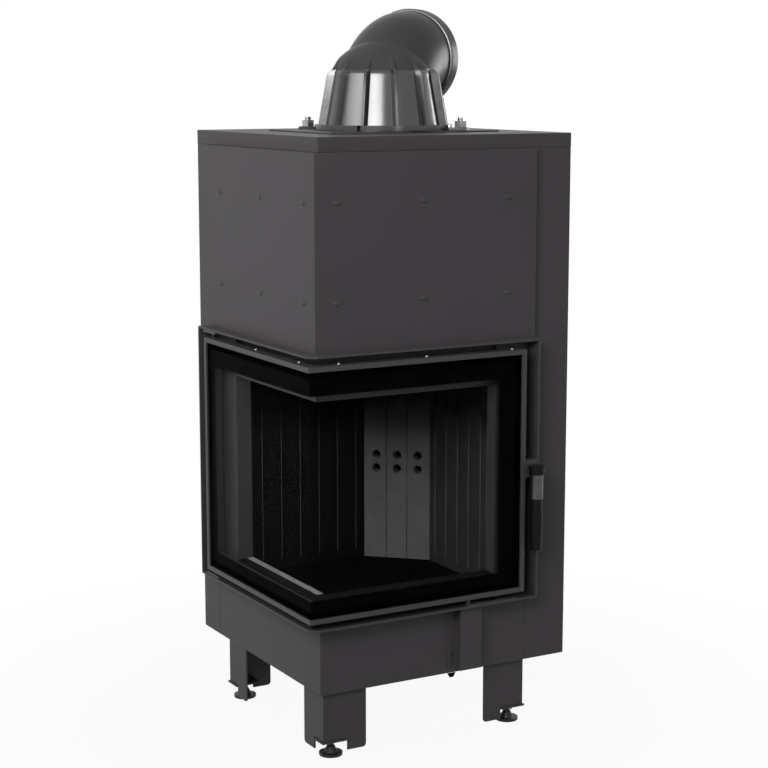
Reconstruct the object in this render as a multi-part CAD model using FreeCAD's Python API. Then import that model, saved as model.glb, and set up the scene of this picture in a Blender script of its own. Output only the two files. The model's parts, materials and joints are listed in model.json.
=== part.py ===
import FreeCAD, Part
import math
import os

# Fireplace insert with a corner glass door, a lined fire chamber and a rotating flue outlet.
# Millimetres. While the pieces are made, the zero point is the lower front left corner of the body:
# X runs right along the front, Y runs back along the left side and Z runs up.
# "Reach" is the distance that something stands out from the body's front and left planes.

# Body
body_width = 583.0
body_depth = 559.0
body_height = 1100.0
casing_sheet = 3.0
cover_band = 29.0
cover_corner_slit = 1.5
base_plate_sheet = 4.0

# Surround of the door
right_strip = 95.0
rear_strip = 77.0
base_height = 144.0
surround_height = 544.0
lip_reach = 40.0
lip_sheet = 5.0
lip_corner_cut = 17.0
post_return = 20.0

# Upper jacket
jacket_gap = 12.0
jacket_sheet = 3.0
jacket_lap = 7.0
standoff_radius = 6.0
standoff_head_radius = 5.0
standoff_head_height = 1.6
standoff_shank_radius = 3.0
standoff_rows = 2
standoff_columns = 3
standoff_near_margin = 33.0
standoff_far_margin = 68.0

# Door
door_reach = 45.0
door_depth = 25.0
door_gap_right = 32.0
door_gap_rear = 37.0
door_gap_top = 14.0
door_gap_bottom = 15.0
door_sheet = 3.0
rim_width = 10.0
frame_right = 55.0
frame_rear = 32.0
frame_top = 47.0
frame_bottom = 36.0
glass_thickness = 4.0
glass_play = 1.0
tape_thickness = 3.0
tape_width = 12.0
seal_width = 10.0
seal_proud = 6.0
seal_play = 0.3
landing_margin = 10.0
landing_margin_hinge = 0.2

# Hinge
hinge_setback = 19.0
hinge_inset = 11.0
hinge_pin_radius = 5.0
hinge_block_height = 36.0
hinge_shoulder_radius = 9.0
hinge_plate_length = 60.0
hinge_plate_width = 24.0
hinge_plate_thickness = 5.0
running_play = 0.05
end_play = 0.1

# Handle and latch
handle_level = 421.5
handle_stand_off = 17.0
handle_hub_radius = 16.0
handle_hub_height = 17.0
ferrule_radius = 13.5
ferrule_length = 51.0
grip_radius = 13.5
grip_end_radius = 11.5
grip_length = 107.0
spindle_radius = 5.0
bracket_width = 29.0
bracket_height = 36.0
finger_height = 14.0
finger_thickness = 6.0
finger_floor_gap = 6.0
keeper_reach = 9.5
keeper_height = 24.0
keeper_play = 0.5

# Fire chamber
post_width = 85.0
post_depth = 129.0
lintel_height = 87.0
corner_cut_x = 107.0
corner_cut_y = 101.0
sill_level = 202.0
hearth_level = 170.0
hearth_thickness = 30.0
hearth_bowl_depth = 12.0
hearth_bowl_margin = 45.0
hearth_bowl_slope = 30.0
lining_thickness = 30.0
lining_rise = 4.0
lining_play = 1.0
groove_pitch = 45.0
groove_width = 4.0
groove_depth = 3.0
groove_foot = 20.0
air_hole_radius = 9.0
air_hole_pitch = 46.0
air_hole_row_pitch = 30.0
air_hole_level = 385.0
baffle_thickness = 25.0
baffle_setback = 70.0
baffle_bearing = 20.0
chamber_sheet = 4.0
roof_drop = 40.0

# Flue: its widths follow the radius of the flue pipe
tube_radius = 100.0
flue_wall = 6.0
flue_heading = 56.0
flue_right_margin = 37.0
flue_rear_margin = 10.0
flue_plate_side = 105.0
flue_plate_end = 49.0
flue_plate_sheet = 3.0
neck_inset = 8.0
neck_sheet = 3.0
neck_rise = 9.0
neck_play = 3.0
flange_rim = 36.0
flange_thickness = 6.0
cone_foot_rim = 26.0
cone_top_rim = 4.0
cone_height = 122.0
dome_height = 68.0
shoulder_bulge = 8.0
bend_inside = 12.0
bend_start = 35.0
joint_angle = 43.5
joint_gap = 0.2
seat_depth = 10.0
throat_depth = 80.0
spigot_inset = 12.0
spigot_wall = 4.0
spigot_flange = 3.0
fin_count = 12
fin_phase = 12.5
fin_thickness = 7.0
fin_foot_rim = 38.0
fin_top_rim = 20.0
fin_height = 125.0
clamp_rim = 44.0
clamp_height = 12.0
clamp_lip_rim = 29.0
clamp_play = 0.1
clamp_gap = 5.0
clamp_gap_heading = 220.5
clamp_lug_rim = 48.0
clamp_lug_sweep = 15.0
ear_width = 30.0
ear_rim = 82.0
ear_thickness = 6.0
ear_heading = 135.0
stud_rim = 65.5
stud_radius = 6.0
stud_height = 26.0
nut_width = 24.0
nut_height = 13.0
collar_rim = 5.0
collar_length = 32.0
collar_floor = 4.0
collar_edge = 1.5
socket_play = 0.3
outlet_straight = 2.0

# Air supply
air_box_from_recess = 174.0
air_box_width = 51.0
air_box_reach = 27.0
air_box_foot = 10.0
air_box_flange = 14.0
air_box_sheet = 2.0
air_slot_length = 36.0
air_slot_width = 8.0
slide_from_recess = 165.0
slide_length = 118.0
slide_width = 16.0
slide_sheet = 3.0
slide_travel = 40.0
slide_knob_radius = 5.0
slide_knob_height = 10.0
slide_pin_radius = 2.5
slide_pin_head_radius = 5.0
slide_pin_head_height = 2.0
slide_play = 0.3
intake_x = 180.0
intake_y = 300.0
intake_radius = 62.3
intake_sheet = 2.0
intake_length = 60.0

# Legs and levelling feet
leg_inset = 12.0
leg_margin_right = 94.0
leg_margin_rear = 102.0
leg_front_width = 98.0
leg_side_width = 85.0
leg_sheet = 4.0
leg_height = 127.0
leg_corner_radius = 8.0
notch_height = 25.0
notch_front = 55.0
notch_side = 40.0
foot_plate_sheet = 4.0
foot_plate_proud = 3.0
foot_inset_x = 27.0
foot_inset_y = 20.0
foot_nut_width = 19.0
foot_nut_height = 10.0
foot_stud_radius = 6.0
foot_stud_top = 80.0
foot_drop = 10.0
foot_pad_radius = 24.0
foot_pad_height = 6.0
foot_cone_radius = 14.0
foot_cone_height = 13.0
foot_neck_radius = 8.0

# Edges of the surround, the recess behind its lips and the door
surround_right = body_width - right_strip
surround_rear = body_depth - rear_strip
surround_top = base_height + surround_height
recess_right = surround_right - lip_sheet
recess_rear = surround_rear - lip_sheet
recess_top = surround_top - lip_sheet
recess_bottom = base_height + lip_sheet
chamber_right = recess_right - post_width
chamber_rear = recess_rear - post_depth
opening_top = recess_top - lintel_height
lining_top = opening_top + lining_rise
door_right = recess_right - door_gap_right
door_rear = recess_rear - door_gap_rear
door_top = recess_top - door_gap_top
door_bottom = recess_bottom + door_gap_bottom
door_back = door_reach - door_depth
web_front = door_reach - glass_thickness - tape_thickness
web_back = web_front - door_sheet
window_right = door_right - frame_right
window_rear = door_rear - frame_rear
window_top = door_top - frame_top
window_bottom = door_bottom + frame_bottom
seal_inset = door_sheet + seal_play
seal_outset = seal_inset + seal_width
seal_face = door_back - seal_proud
landing_reach = seal_face - seal_play
landing_right = window_right + seal_outset + landing_margin
landing_rear = window_rear + seal_outset + landing_margin_hinge
landing_top = window_top + seal_outset + landing_margin
landing_bottom = window_bottom - seal_outset - landing_margin
pivot_x = hinge_setback - door_reach
pivot_y = door_rear - hinge_inset
handle_x = (door_right + recess_right) / 2
handle_reach = door_reach + handle_stand_off
air_box_left = recess_right - air_box_from_recess
slide_left = recess_right - slide_from_recess
band_bottom = body_height - cover_band
jacket_reach = jacket_gap + jacket_sheet
jacket_right = recess_right + jacket_lap
jacket_rear = recess_rear + jacket_lap
chamber_floor = hearth_level - hearth_thickness
wall_x = chamber_right + lining_thickness
wall_y = chamber_rear + lining_thickness
roof_top = body_height - roof_drop
roof_bottom = roof_top - chamber_sheet
neck_radius = tube_radius - neck_inset
flue_x = wall_x - neck_radius - flue_right_margin
flue_y = wall_y - neck_radius - flue_rear_margin
flue_floor = body_height + flue_plate_sheet
cone_foot_radius = tube_radius + cone_foot_rim
cone_top_radius = tube_radius + cone_top_rim
cone_top = flue_floor + cone_height
flange_radius = tube_radius + flange_rim
spigot_radius = tube_radius - spigot_inset
bend_radius = tube_radius + bend_inside
floor_level = -(leg_height + foot_drop)

# The part's own zero point: middle of its outline, on the floor
shift = FreeCAD.Vector((door_reach - body_width) / 2,
                       (handle_reach + handle_hub_radius - body_depth) / 2,
                       -floor_level)

# Cutting shapes run this far past the faces that they cut
overcut = 1.0

up = FreeCAD.Vector(0, 0, 1)
back = FreeCAD.Vector(0, 1, 0)


def point(x, y, z):
    """Point in the body's own coordinates."""
    return FreeCAD.Vector(x, y, z)


def box(x0, x1, y0, y1, z0, z1):
    """Rectangular block between two corners."""
    return Part.makeBox(x1 - x0, y1 - y0, z1 - z0, point(x0, y0, z0))


def plate(outline, z0, z1):
    """Flat piece with an outline of X and Y points, between two heights."""
    wire = Part.makePolygon([point(x, y, z0) for x, y in outline + outline[:1]])
    return Part.Face(wire).extrude(point(0, 0, z1 - z0))


def corner_wrap(inner, outer, z0, z1, x_end, y_end):
    """Wall between two reaches that wraps the front left corner up to an X and a Y end."""
    return plate([(x_end, -outer), (-outer, -outer), (-outer, y_end),
                  (-inner, y_end), (-inner, -inner), (x_end, -inner)], z0, z1)


def corner_ring(inner, outer, window, border):
    """Frame round a corner window (right, rear, bottom, top) with an equal border outside it."""
    right, rear, bottom, top = window
    whole = corner_wrap(inner, outer, bottom - border, top + border, right + border, rear + border)
    return whole.cut(corner_wrap(inner - overcut, outer + overcut, bottom, top, right, rear))


def cylinder(x, y, z0, z1, radius):
    """Upright cylinder between two heights."""
    return Part.makeCylinder(radius, z1 - z0, point(x, y, z0))


def turned(x, y, profile):
    """Upright turned piece from a profile of radius and height points."""
    wire = Part.makePolygon([point(x + r, y, z) for r, z in profile + profile[:1]])
    return Part.Face(wire).revolve(point(x, y, 0), up, 360)


def hexagon(x, y, z0, z1, width):
    """Upright hexagonal prism with a width across its flats."""
    corner = width / math.sqrt(3)
    return plate([(x + corner * math.cos(math.radians(60 * k)),
                   y + corner * math.sin(math.radians(60 * k))) for k in range(6)], z0, z1)


def save(name, shape):
    """Write one piece, moved to the part's own zero point."""
    shape.translated(shift).removeSplitter().exportStep("parts/" + name + ".step")


def make_casing():
    """Folded outer panels, base plate and top cover."""
    save("base_plate", box(casing_sheet, body_width - casing_sheet, casing_sheet, body_depth - casing_sheet,
                           0, base_plate_sheet)
         .cut(cylinder(intake_x, intake_y, 0, base_plate_sheet, intake_radius - intake_sheet)))
    save("base_jacket", corner_wrap(-casing_sheet, 0, 0, recess_bottom, recess_right, recess_rear))
    inner_right = body_width - casing_sheet
    inner_rear = body_depth - casing_sheet
    save("right_casing", plate([(recess_right, 0), (body_width, 0), (body_width, body_depth),
                                (inner_right, body_depth), (inner_right, casing_sheet),
                                (recess_right, casing_sheet)], 0, band_bottom))
    save("rear_casing", plate([(0, recess_rear), (casing_sheet, recess_rear), (casing_sheet, inner_rear),
                               (inner_right, inner_rear), (inner_right, body_depth), (0, body_depth)],
                              0, band_bottom))
    cover_floor = body_height - casing_sheet
    cover = box(0, body_width, 0, body_depth, band_bottom, body_height)
    cover = cover.cut(box(casing_sheet, inner_right, casing_sheet, inner_rear, band_bottom, cover_floor))
    cover = cover.cut(cylinder(flue_x, flue_y, cover_floor, body_height, neck_radius + neck_play))
    slit = box(0, cover_corner_slit, 0, casing_sheet, band_bottom, cover_floor)
    save("top_cover", cover.cut(slit))
    save("hood_wall", corner_wrap(-casing_sheet, 0, recess_top, band_bottom, recess_right, recess_rear))


def make_upper_jacket():
    """Jacket that stands off the hood wall, with edges folded back to the body, and its stand-offs."""
    jacket = corner_wrap(jacket_gap, jacket_reach, surround_top, band_bottom, jacket_right, jacket_rear)
    for x0, x1, y0, y1 in ((jacket_right - jacket_sheet, jacket_right, -jacket_gap, 0),
                           (-jacket_gap, 0, jacket_rear - jacket_sheet, jacket_rear)):
        jacket = jacket.fuse(box(x0, x1, y0, y1, surround_top, band_bottom))
    top_fold = corner_wrap(0, jacket_gap, band_bottom - jacket_sheet, band_bottom,
                           jacket_right - jacket_sheet, jacket_rear - jacket_sheet)
    jacket = jacket.fuse(top_fold)
    stand_offs = []
    row_pitch = (band_bottom - surround_top) / standoff_rows
    for row in range(standoff_rows):
        z = surround_top + (row + 0.5) * row_pitch
        for column in range(standoff_columns):
            share = column / (standoff_columns - 1)
            x = standoff_near_margin * (1 - share) + (jacket_right - standoff_far_margin) * share
            y = standoff_near_margin * (1 - share) + (jacket_rear - standoff_far_margin) * share
            for start, way in ((point(x, 0, z), point(0, -1, 0)), (point(0, y, z), point(-1, 0, 0))):
                reach = start + way * jacket_gap
                spacer = Part.makeCylinder(standoff_radius, jacket_gap, start, way)
                shank = Part.makeCylinder(standoff_shank_radius, jacket_sheet, reach, way)
                head = Part.makeCone(standoff_head_radius, standoff_shank_radius, standoff_head_height,
                                     start + way * jacket_reach, way)
                stand_offs.append(spacer.fuse([shank, head]))
                jacket = jacket.cut(Part.makeCylinder(standoff_shank_radius, jacket_sheet, reach, way))
    save("upper_jacket", jacket)
    save("jacket_standoffs", Part.makeCompound(stand_offs))


def make_surround():
    """Lips round the door and the folded posts, lintel and sill that the door closes on."""
    lip = plate([(surround_right, 0), (surround_right, -lip_reach), (lip_corner_cut - lip_reach, -lip_reach),
                 (-lip_reach, lip_corner_cut - lip_reach), (-lip_reach, surround_rear), (0, surround_rear),
                 (0, 0)], 0, lip_sheet)
    save("surround_top_lip", lip.translated(point(0, 0, recess_top)))
    slot_middle = air_box_left + air_box_width / 2
    slot_y = -air_box_reach / 2
    bottom_lip = lip.translated(point(0, 0, base_height))
    bottom_lip = bottom_lip.cut(box(slot_middle - air_slot_length / 2, slot_middle + air_slot_length / 2,
                                    slot_y - air_slot_width / 2, slot_y + air_slot_width / 2,
                                    base_height, recess_bottom))
    save("surround_bottom_lip", bottom_lip)
    save("surround_right_lip", box(recess_right, surround_right, -lip_reach, 0, recess_bottom, recess_top))
    save("surround_rear_lip", box(-lip_reach, 0, recess_rear, surround_rear, recess_bottom, recess_top))

    sheet = casing_sheet
    front = landing_reach
    right_post = [(recess_right, 0), (landing_right, 0), (landing_right, -front), (chamber_right, -front),
                  (chamber_right, post_return), (chamber_right + sheet, post_return),
                  (chamber_right + sheet, sheet - front), (landing_right - sheet, sheet - front),
                  (landing_right - sheet, sheet), (recess_right, sheet)]
    save("right_post", plate(right_post, recess_bottom, recess_top))
    rear_post = [(0, recess_rear), (0, landing_rear), (-front, landing_rear), (-front, chamber_rear),
                 (post_return, chamber_rear), (post_return, chamber_rear + sheet),
                 (sheet - front, chamber_rear + sheet), (sheet - front, landing_rear - sheet),
                 (sheet, landing_rear - sheet), (sheet, recess_rear)]
    save("rear_post", plate(rear_post, recess_bottom, recess_top))

    def band(inner, outer, z0, z1):
        return corner_wrap(inner, outer, z0, z1, chamber_right, chamber_rear)

    lintel = band(-sheet, 0, landing_top - sheet, recess_top).fuse([
        band(0, front, landing_top - sheet, landing_top),
        band(front - sheet, front, opening_top, landing_top),
        band(-post_return, front - sheet, opening_top, opening_top + sheet)])
    sill = band(-sheet, 0, recess_bottom, landing_bottom + sheet).fuse([
        band(0, front, landing_bottom, landing_bottom + sheet),
        band(front - sheet, front, landing_bottom, sill_level),
        band(-post_return, front - sheet, sill_level - sheet, sill_level)])
    far = body_width
    near = -front - overcut
    front_half = plate([(near, near), (far, far), (far, near)], 0, body_height)
    for name, piece in (("lintel", lintel), ("sill", sill)):
        save("front_" + name, piece.common(front_half))
        save("left_" + name, piece.cut(front_half))


def grooved(panel, start, along, length):
    """Panel with upright grooves spaced evenly about the middle of one face."""
    count = int(length // groove_pitch)
    first = (length - (count - 1) * groove_pitch) / 2
    for k in range(count):
        middle = start + along * (first + k * groove_pitch)
        cutter = Part.makeBox(groove_width, groove_depth * 2, lining_top - hearth_level - groove_foot,
                              point(-groove_width / 2, -groove_depth, hearth_level + groove_foot))
        cutter.rotate(point(0, 0, 0), up, math.degrees(math.atan2(along.y, along.x)))
        panel = panel.cut(cutter.translated(middle))
    return panel


def make_fire_chamber():
    """Steel walls, grooved lining panels, hearth slab and smoke baffle."""
    inside = casing_sheet
    outer_x = wall_x + chamber_sheet
    outer_y = wall_y + chamber_sheet
    save("chamber_floor", box(inside, outer_x, inside, outer_y, chamber_floor - chamber_sheet, chamber_floor))
    save("chamber_rear_wall", box(inside, outer_x, wall_y, outer_y, chamber_floor, roof_bottom))
    save("chamber_right_wall", box(wall_x, outer_x, inside, wall_y, chamber_floor, roof_bottom))
    roof = box(inside, outer_x, inside, outer_y, roof_bottom, roof_top)
    save("chamber_roof", roof.cut(cylinder(flue_x, flue_y, roof_bottom, roof_top, neck_radius - neck_sheet)))

    start = post_return + lining_play
    cut_x = chamber_right - corner_cut_x
    cut_y = chamber_rear - corner_cut_y
    rear = box(start, cut_x, chamber_rear, wall_y, chamber_floor, lining_top)
    save("rear_lining", grooved(rear, point(start, chamber_rear, 0), point(1, 0, 0), cut_x - start))
    right = box(chamber_right, wall_x, start, cut_y, chamber_floor, lining_top)
    save("right_lining", grooved(right, point(chamber_right, start, 0), back, cut_y - start))

    along = point(corner_cut_x, -corner_cut_y, 0)
    length = along.Length
    along.normalize()
    outward = point(-along.y, along.x, 0)
    near_end = point(cut_x, chamber_rear, 0)
    far_end = point(chamber_right, cut_y, 0)
    outline = [near_end, far_end, far_end + outward * lining_thickness, near_end + outward * lining_thickness]
    corner = plate([(p.x, p.y) for p in outline], chamber_floor, lining_top)
    corner = grooved(corner, near_end, along, length)
    middle = (near_end + far_end) / 2
    for column in (-1, 0, 1):
        for row in (-1, 1):
            z = air_hole_level + row * air_hole_row_pitch / 2
            mouth = middle + along * (column * air_hole_pitch) + up * z
            corner = corner.cut(Part.makeCylinder(air_hole_radius, lining_thickness, mouth, outward))
    save("corner_lining", corner)

    hearth_outline = [(start, start), (chamber_right, start), (chamber_right, cut_y), (cut_x, chamber_rear),
                      (start, chamber_rear)]
    slab = plate(hearth_outline, chamber_floor, hearth_level)
    rims = []
    for margin, z in ((hearth_bowl_margin, hearth_level),
                      (hearth_bowl_margin + hearth_bowl_slope, hearth_level - hearth_bowl_depth)):
        left, right_side, rear_side = start + margin, chamber_right - margin, chamber_rear - margin
        rims.append(Part.makePolygon([point(left, left, z), point(right_side, left, z),
                                      point(right_side, cut_y - margin, z),
                                      point(cut_x - margin, rear_side, z),
                                      point(left, rear_side, z), point(left, left, z)]))
    save("hearth_slab", slab.cut(Part.makeLoft(rims, True, True)))

    bearing = chamber_right + baffle_bearing
    bearing_rear = chamber_rear + baffle_bearing
    cut = near_end + outward * baffle_bearing
    slope = corner_cut_y / corner_cut_x
    baffle = plate([(baffle_setback, baffle_setback), (bearing, baffle_setback),
                    (bearing, cut.y - (bearing - cut.x) * slope),
                    (cut.x - (bearing_rear - cut.y) / slope, bearing_rear),
                    (baffle_setback, bearing_rear)], lining_top, lining_top + baffle_thickness)
    save("smoke_baffle", baffle)


def make_door():
    """Channel frame with glass, tape and seal, swinging on two pins at the rear left."""
    window = (window_right, window_rear, window_bottom, window_top)
    frame = corner_wrap(door_back, door_reach, door_bottom, door_top, door_right, door_rear)
    frame = frame.cut(corner_wrap(door_back - overcut, web_back,
                                  door_bottom + door_sheet, door_top - door_sheet,
                                  door_right - door_sheet, door_rear - door_sheet))
    frame = frame.cut(corner_wrap(web_front, door_reach + overcut,
                                  door_bottom + rim_width, door_top - rim_width,
                                  door_right - rim_width, door_rear - rim_width))
    frame = frame.cut(corner_wrap(0, door_reach + overcut, window_bottom, window_top, window_right,
                                  window_rear))
    frame = frame.fuse(corner_ring(door_back, web_front, window, door_sheet))
    pin_hole = cylinder(pivot_x, pivot_y, door_bottom, door_top, hinge_pin_radius + running_play)
    save("door_frame", frame.cut(pin_hole))

    edge = rim_width + glass_play
    glass_back = door_reach - glass_thickness
    save("front_glass", box(-door_reach, door_right - edge, -door_reach, -glass_back,
                            door_bottom + edge, door_top - edge))
    save("side_glass", box(-door_reach, -glass_back, -glass_back, door_rear - edge,
                           door_bottom + edge, door_top - edge))
    inner = (door_right - edge - tape_width, door_rear - edge - tape_width,
             door_bottom + edge + tape_width, door_top - edge - tape_width)
    save("glass_tape", corner_ring(web_front, glass_back, inner, tape_width))
    seal_window = (window_right + seal_inset, window_rear + seal_inset,
                   window_bottom - seal_inset, window_top + seal_inset)
    save("door_seal", corner_ring(seal_face, web_back, seal_window, seal_width))

    blocks = []
    for z0, z1 in ((door_bottom + door_sheet, door_bottom + hinge_block_height),
                   (door_top - hinge_block_height, door_top - door_sheet)):
        block = box(-web_back, -door_back, window_rear + seal_outset + seal_play, door_rear - door_sheet,
                    z0, z1)
        blocks.append(block.cut(pin_hole))
    save("hinge_blocks", Part.makeCompound(blocks))
    grip = hinge_block_height - door_sheet
    shoulder_top = door_bottom - end_play
    lower = turned(pivot_x, pivot_y, [(0, recess_bottom), (hinge_pin_radius, recess_bottom),
                                      (hinge_pin_radius, recess_bottom + hinge_plate_thickness),
                                      (hinge_shoulder_radius, recess_bottom + hinge_plate_thickness),
                                      (hinge_shoulder_radius, shoulder_top), (hinge_pin_radius, shoulder_top),
                                      (hinge_pin_radius, door_bottom + grip), (0, door_bottom + grip)])
    upper = cylinder(pivot_x, pivot_y, door_top - grip, recess_top, hinge_pin_radius)
    save("hinge_pins", Part.makeCompound([lower, upper]))
    plates = []
    for z in (recess_bottom, recess_top - hinge_plate_thickness):
        one = box(pivot_x - hinge_plate_width / 2, pivot_x + hinge_plate_width / 2,
                  pivot_y - hinge_plate_length / 2, pivot_y + hinge_plate_length / 2,
                  z, z + hinge_plate_thickness)
        plates.append(one.cut(cylinder(pivot_x, pivot_y, z, z + hinge_plate_thickness,
                                       hinge_pin_radius + running_play)))
    save("hinge_plates", Part.makeCompound(plates))


def make_handle():
    """Hanging handle that turns a latch finger behind a sloped keeper."""
    hub_back = handle_reach - handle_hub_radius
    bracket_front = door_reach
    bore = Part.makeCylinder(spindle_radius + running_play, door_depth,
                             point(handle_x, -bracket_front, handle_level), back)
    bracket = box(door_right, door_right + bracket_width, -bracket_front, -door_back,
                  handle_level - bracket_height / 2, handle_level + bracket_height / 2)
    save("handle_bracket", bracket.cut(bore))

    spindle = Part.makeCylinder(spindle_radius, handle_reach - finger_floor_gap,
                                point(handle_x, -handle_reach, handle_level), back)
    finger_back = finger_floor_gap
    finger_front = finger_floor_gap + finger_thickness
    tip = recess_right - keeper_play - keeper_reach - handle_x
    cone = Part.makeCone(tip, tip + finger_thickness, finger_thickness,
                         point(handle_x, -finger_front, handle_level), back)
    blade = box(handle_x, recess_right, -finger_front, -finger_back,
                handle_level - finger_height / 2, handle_level + finger_height / 2)
    save("latch_finger", spindle.fuse(blade.common(cone)))
    keeper_front = finger_front + keeper_play
    keeper = plate([(recess_right, -keeper_front), (recess_right, keeper_reach - keeper_front),
                    (recess_right - keeper_reach, -keeper_front)],
                   handle_level - keeper_height / 2, handle_level + keeper_height / 2)
    save("latch_keeper", keeper)

    hub_bottom = handle_level - handle_hub_height / 2
    hub = cylinder(handle_x, -handle_reach, hub_bottom, hub_bottom + handle_hub_height, handle_hub_radius)
    hub = hub.cut(Part.makeCylinder(spindle_radius, handle_hub_radius,
                                    point(handle_x, -handle_reach, handle_level), back))
    save("handle_hub", hub)
    ferrule_bottom = hub_bottom - ferrule_length
    save("handle_ferrule", cylinder(handle_x, -handle_reach, ferrule_bottom, hub_bottom, ferrule_radius))
    grip_bottom = ferrule_bottom - grip_length
    side = Part.Arc(point(handle_x + grip_end_radius, -handle_reach, grip_bottom),
                    point(handle_x + grip_radius, -handle_reach, ferrule_bottom - grip_length / 2),
                    point(handle_x + grip_end_radius, -handle_reach, ferrule_bottom)).toShape()
    ends = Part.makePolygon([point(handle_x + grip_end_radius, -handle_reach, ferrule_bottom),
                             point(handle_x, -handle_reach, ferrule_bottom),
                             point(handle_x, -handle_reach, grip_bottom),
                             point(handle_x + grip_end_radius, -handle_reach, grip_bottom)])
    face = Part.Face(Part.Wire([side] + ends.Edges))
    save("handle_grip", face.revolve(point(handle_x, -handle_reach, 0), up, 360))


def make_air_supply():
    """Air box on the lower front, sliding air control on the bottom lip and intake spigot."""
    right = air_box_left + air_box_width
    sheet = air_box_sheet
    cover = box(air_box_left, right, -air_box_reach, 0, air_box_foot, base_height)
    cover = cover.cut(box(air_box_left + sheet, right - sheet, sheet - air_box_reach, 0,
                          air_box_foot, base_height))
    for x0, x1 in ((air_box_left - air_box_flange, air_box_left), (right, right + air_box_flange)):
        cover = cover.fuse(box(x0, x1, -sheet, 0, air_box_foot, base_height))
    save("air_box", cover)

    slide_y = slide_width / 2 - lip_reach
    bar = box(slide_left, slide_left + slide_length, slide_y - slide_width / 2, slide_y + slide_width / 2,
              recess_bottom, recess_bottom + slide_sheet)
    knob_x = slide_left + slide_knob_radius
    knob_foot = recess_bottom + slide_sheet
    knob = cylinder(knob_x, slide_y, knob_foot, knob_foot + slide_knob_height, slide_knob_radius)
    pins = []
    reach = slide_pin_radius + slide_play
    first_pin = slide_left + slide_travel + 2 * slide_knob_radius + slide_pin_head_radius + slide_play
    last_pin = slide_left + slide_length - slide_pin_head_radius
    for pin_x in (first_pin, last_pin):
        slot = box(pin_x - slide_travel, pin_x, slide_y - reach, slide_y + reach,
                   recess_bottom, recess_bottom + slide_sheet)
        for end in (pin_x - slide_travel, pin_x):
            slot = slot.fuse(cylinder(end, slide_y, recess_bottom, recess_bottom + slide_sheet, reach))
        bar = bar.cut(slot)
        head_bottom = recess_bottom + slide_sheet + slide_play
        pins.append(turned(pin_x, slide_y, [(0, recess_bottom), (slide_pin_radius, recess_bottom),
                                            (slide_pin_radius, head_bottom),
                                            (slide_pin_head_radius, head_bottom),
                                            (slide_pin_head_radius, head_bottom + slide_pin_head_height),
                                            (0, head_bottom + slide_pin_head_height)]))
    save("air_slide", bar.fuse(knob))
    save("air_slide_pins", Part.makeCompound(pins))
    spigot = cylinder(intake_x, intake_y, -intake_length, 0, intake_radius)
    intake_bore = cylinder(intake_x, intake_y, -intake_length, 0, intake_radius - intake_sheet)
    save("air_intake", spigot.cut(intake_bore))


def flue_cone(offset):
    """Cone of the flue base, set in by an offset."""
    return turned(flue_x, flue_y, [(0, flue_floor), (cone_foot_radius - offset, flue_floor),
                                   (cone_top_radius - offset, cone_top), (0, cone_top)])


def flue_dome():
    """Half ellipsoid over the rim of the cone."""
    middle = point(flue_x, flue_y, cone_top)
    rim = middle + point(cone_top_radius, 0, 0)
    crown = middle + up * dome_height
    arc = Part.ArcOfEllipse(Part.Ellipse(rim, crown, middle), 0, math.pi / 2).toShape()
    sides = Part.makePolygon([crown, middle, rim])
    return Part.Face(Part.Wire([arc] + sides.Edges)).revolve(middle, up, 360)


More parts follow.
